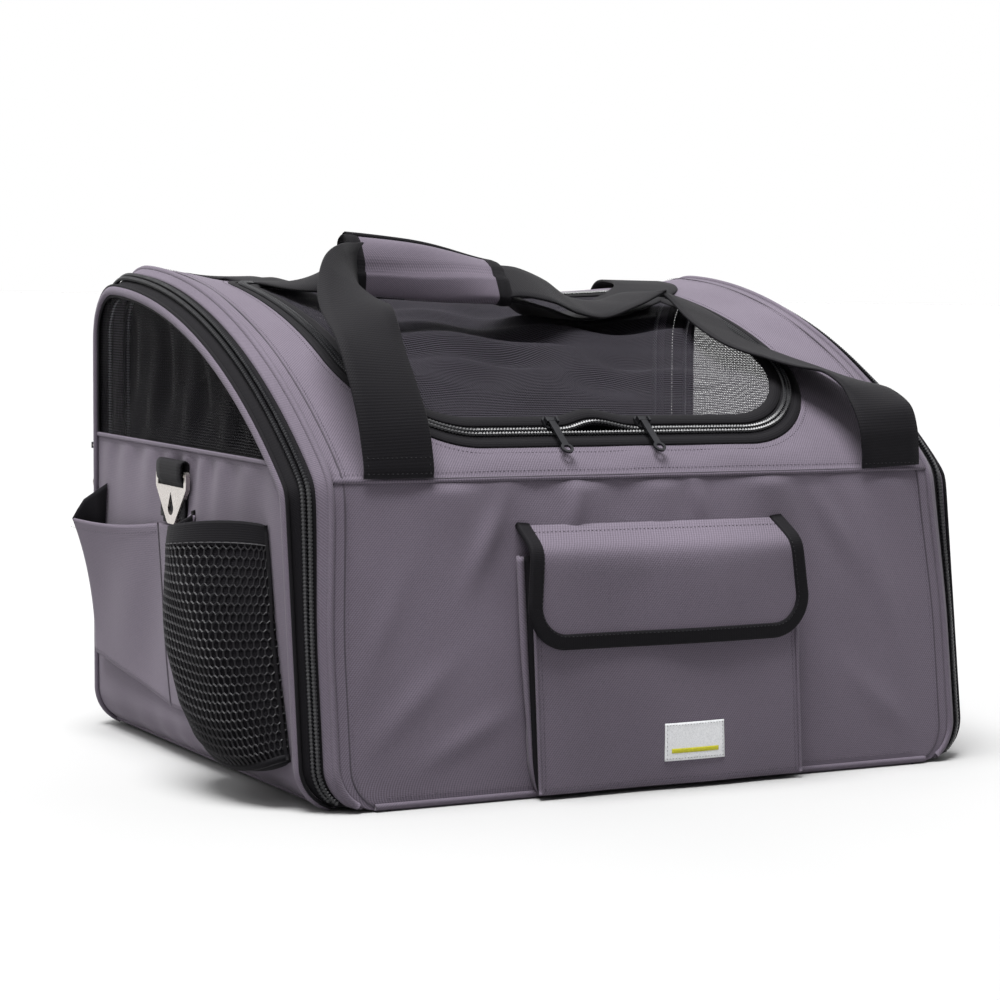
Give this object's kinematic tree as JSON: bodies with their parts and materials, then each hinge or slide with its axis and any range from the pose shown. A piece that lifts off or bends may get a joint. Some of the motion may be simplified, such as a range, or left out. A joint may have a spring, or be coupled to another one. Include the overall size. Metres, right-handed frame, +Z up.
{
  "type": "pet carrier bag",
  "caption": "Soft-sided pet carrier bag with zipped end doors, a zipped mesh roof flap, front and side pockets and carrying straps under a padded grip.",
  "frame": {"origin": "middle of the base, on the surface that the bag stands on", "axes": "+X along the bag from the pocketed end to the other, +Y to the back, +Z up"},
  "size_m": [0.5688, 0.4152, 0.358],
  "materials": {
    "grey_cloth": "woven polyester, fine twill, mauve grey",
    "black_mesh": "open polyester mesh",
    "black_webbing": "flat woven webbing",
    "black_binding": "folded binding tape",
    "zip_black": "zip tape with a nylon coil",
    "black_metal": "black enamel",
    "nickel": "nickel plated",
    "spring_steel": "plain wire",
    "board_plastic": "rigid sheet",
    "mat_fleece": "padded mat cover",
    "label_cloth": "plain woven label",
    "hook_loop": "hook and loop tape"
  },
  "bodies": {
    "root": {"front_panel": "grey_cloth", "roof_panel": "grey_cloth", "back_panel": "grey_cloth", "base_panel": "grey_cloth", "base_board": "board_plastic", "floor_mat": "mat_fleece", "front_stiffener": "board_plastic", "back_stiffener": "board_plastic", "left_shell_piping": "grey_cloth", "right_shell_piping": "grey_cloth", "left_shell_hoop": "spring_steel", "right_shell_hoop": "spring_steel", "left_shell_zipper": "zip_black", "right_shell_zipper": "zip_black", "roof_zipper": "zip_black", "front_pocket": "grey_cloth", "loop_patch": "hook_loop", "label": "label_cloth"},
    "left_door": {"left_door_panel": "grey_cloth", "left_door_mesh": "black_mesh", "left_door_piping": "grey_cloth", "left_door_hoop": "spring_steel", "left_door_zipper": "zip_black", "left_tab": "black_webbing", "bellows_pocket": "grey_cloth", "bottle_pocket": "black_mesh", "bottle_band": "black_binding"},
    "right_door": {"right_door_panel": "grey_cloth", "right_door_mesh": "black_mesh", "right_door_piping": "grey_cloth", "right_door_hoop": "spring_steel", "right_door_zipper": "zip_black", "right_tab": "black_webbing"},
    "left_strap_ring": {"left_ring": "nickel"},
    "right_strap_ring": {"right_ring": "nickel"},
    "top_flap": {"flap_mesh": "black_mesh", "flap_binding": "black_binding", "flap_zipper": "zip_black"},
    "pocket_flap": {"pocket_flap_panel": "grey_cloth", "pocket_flap_binding": "black_binding", "hook_patch": "hook_loop"},
    "front_handle": {"front_strap": "black_webbing", "grip_pad": "grey_cloth", "grip_binding": "black_binding"},
    "rear_handle": {"rear_strap": "black_webbing"},
    "top_left_zip_slider": {"top_left_slider": "black_metal"},
    "top_left_zip_pull": {"top_left_pull": "black_metal"},
    "left_door_zip_slider": {"left_door_slider": "black_metal"},
    "left_door_zip_pull": {"left_door_pull": "black_metal"},
    "top_right_zip_slider": {"top_right_slider": "black_metal"},
    "top_right_zip_pull": {"top_right_pull": "black_metal"},
    "right_door_zip_slider": {"right_door_slider": "black_metal"},
    "right_door_zip_pull": {"right_door_pull": "black_metal"}
  },
  "joints": [
    {"name": "left_door_open", "type": "hinge", "parent": "root", "child": "left_door", "pos_m": [-0.25, 0, 0.008], "axis": [0, -1, 0], "range_deg": [0, 78]},
    {"name": "left_ring_swing", "type": "hinge", "parent": "left_door", "child": "left_strap_ring", "pos_m": [-0.26215, 0.022, 0.196], "axis": [0, 1, 0], "range_deg": [0, 150]},
    {"name": "left_door_zip", "type": "slide", "parent": "left_door", "child": "left_door_zip_slider", "axis": [0, 0.0313, 0.9995], "range_m": [-0.09, 0.05]},
    {"name": "left_door_pull_swing", "type": "hinge", "parent": "left_door_zip_slider", "child": "left_door_zip_pull", "pos_m": [-0.25382, 0.19225, 0.205], "axis": [0.7071, 0.7071, 0], "range_deg": [0, 110]},
    {"name": "right_door_open", "type": "hinge", "parent": "root", "child": "right_door", "pos_m": [0.25, 0, 0.008], "axis": [0, 1, 0], "range_deg": [0, 78]},
    {"name": "right_ring_swing", "type": "hinge", "parent": "right_door", "child": "right_strap_ring", "pos_m": [0.26215, 0.022, 0.196], "axis": [0, -1, 0], "range_deg": [0, 150]},
    {"name": "right_door_zip", "type": "slide", "parent": "right_door", "child": "right_door_zip_slider", "axis": [0, 0.0313, 0.9995], "range_m": [-0.09, 0.05]},
    {"name": "right_door_pull_swing", "type": "hinge", "parent": "right_door_zip_slider", "child": "right_door_zip_pull", "pos_m": [0.25382, 0.19225, 0.205], "axis": [0.7071, -0.7071, 0], "range_deg": [0, 110]},
    {"name": "top_flap_open", "type": "hinge", "parent": "root", "child": "top_flap", "pos_m": [0, 0.114, 0.3358], "axis": [-1, 0, 0], "range_deg": [0, 150]},
    {"name": "top_left_zip", "type": "slide", "parent": "top_flap", "child": "top_left_zip_slider", "axis": [-1, 0, 0], "range_m": [0, 0.05]},
    {"name": "top_left_pull_swing", "type": "hinge", "parent": "top_left_zip_slider", "child": "top_left_zip_pull", "pos_m": [-0.057, -0.13732, 0.23938], "axis": [-1, 0, 0], "range_deg": [0, 140]},
    {"name": "top_right_zip", "type": "slide", "parent": "top_flap", "child": "top_right_zip_slider", "axis": [1, 0, 0], "range_m": [0, 0.09]},
    {"name": "top_right_pull_swing", "type": "hinge", "parent": "top_right_zip_slider", "child": "top_right_zip_pull", "pos_m": [0.015, -0.13732, 0.23938], "axis": [-1, 0, 0], "range_deg": [0, 140]},
    {"name": "pocket_flap_lift", "type": "hinge", "parent": "root", "child": "pocket_flap", "pos_m": [0, -0.17409, 0.176], "axis": [-1, 0, 0], "range_deg": [0, 120]},
    {"name": "front_handle_swing", "type": "hinge", "parent": "root", "child": "front_handle", "pos_m": [0, -0.172, 0.2075], "axis": [1, 0, 0], "range_deg": [0, 180], "deforming": ["front_strap"]},
    {"name": "rear_handle_swing", "type": "hinge", "parent": "root", "child": "rear_handle", "pos_m": [0, 0.2034, 0.283], "axis": [-1, 0, 0], "range_deg": [0, 225], "deforming": ["rear_strap"]}
  ],
  "couplings": [
    {"joint": "front_handle_swing", "follows": "top_flap_open", "ratio": 1.17},
    {"joint": "rear_handle_swing", "follows": "top_flap_open", "ratio": 1.47}
  ]
}
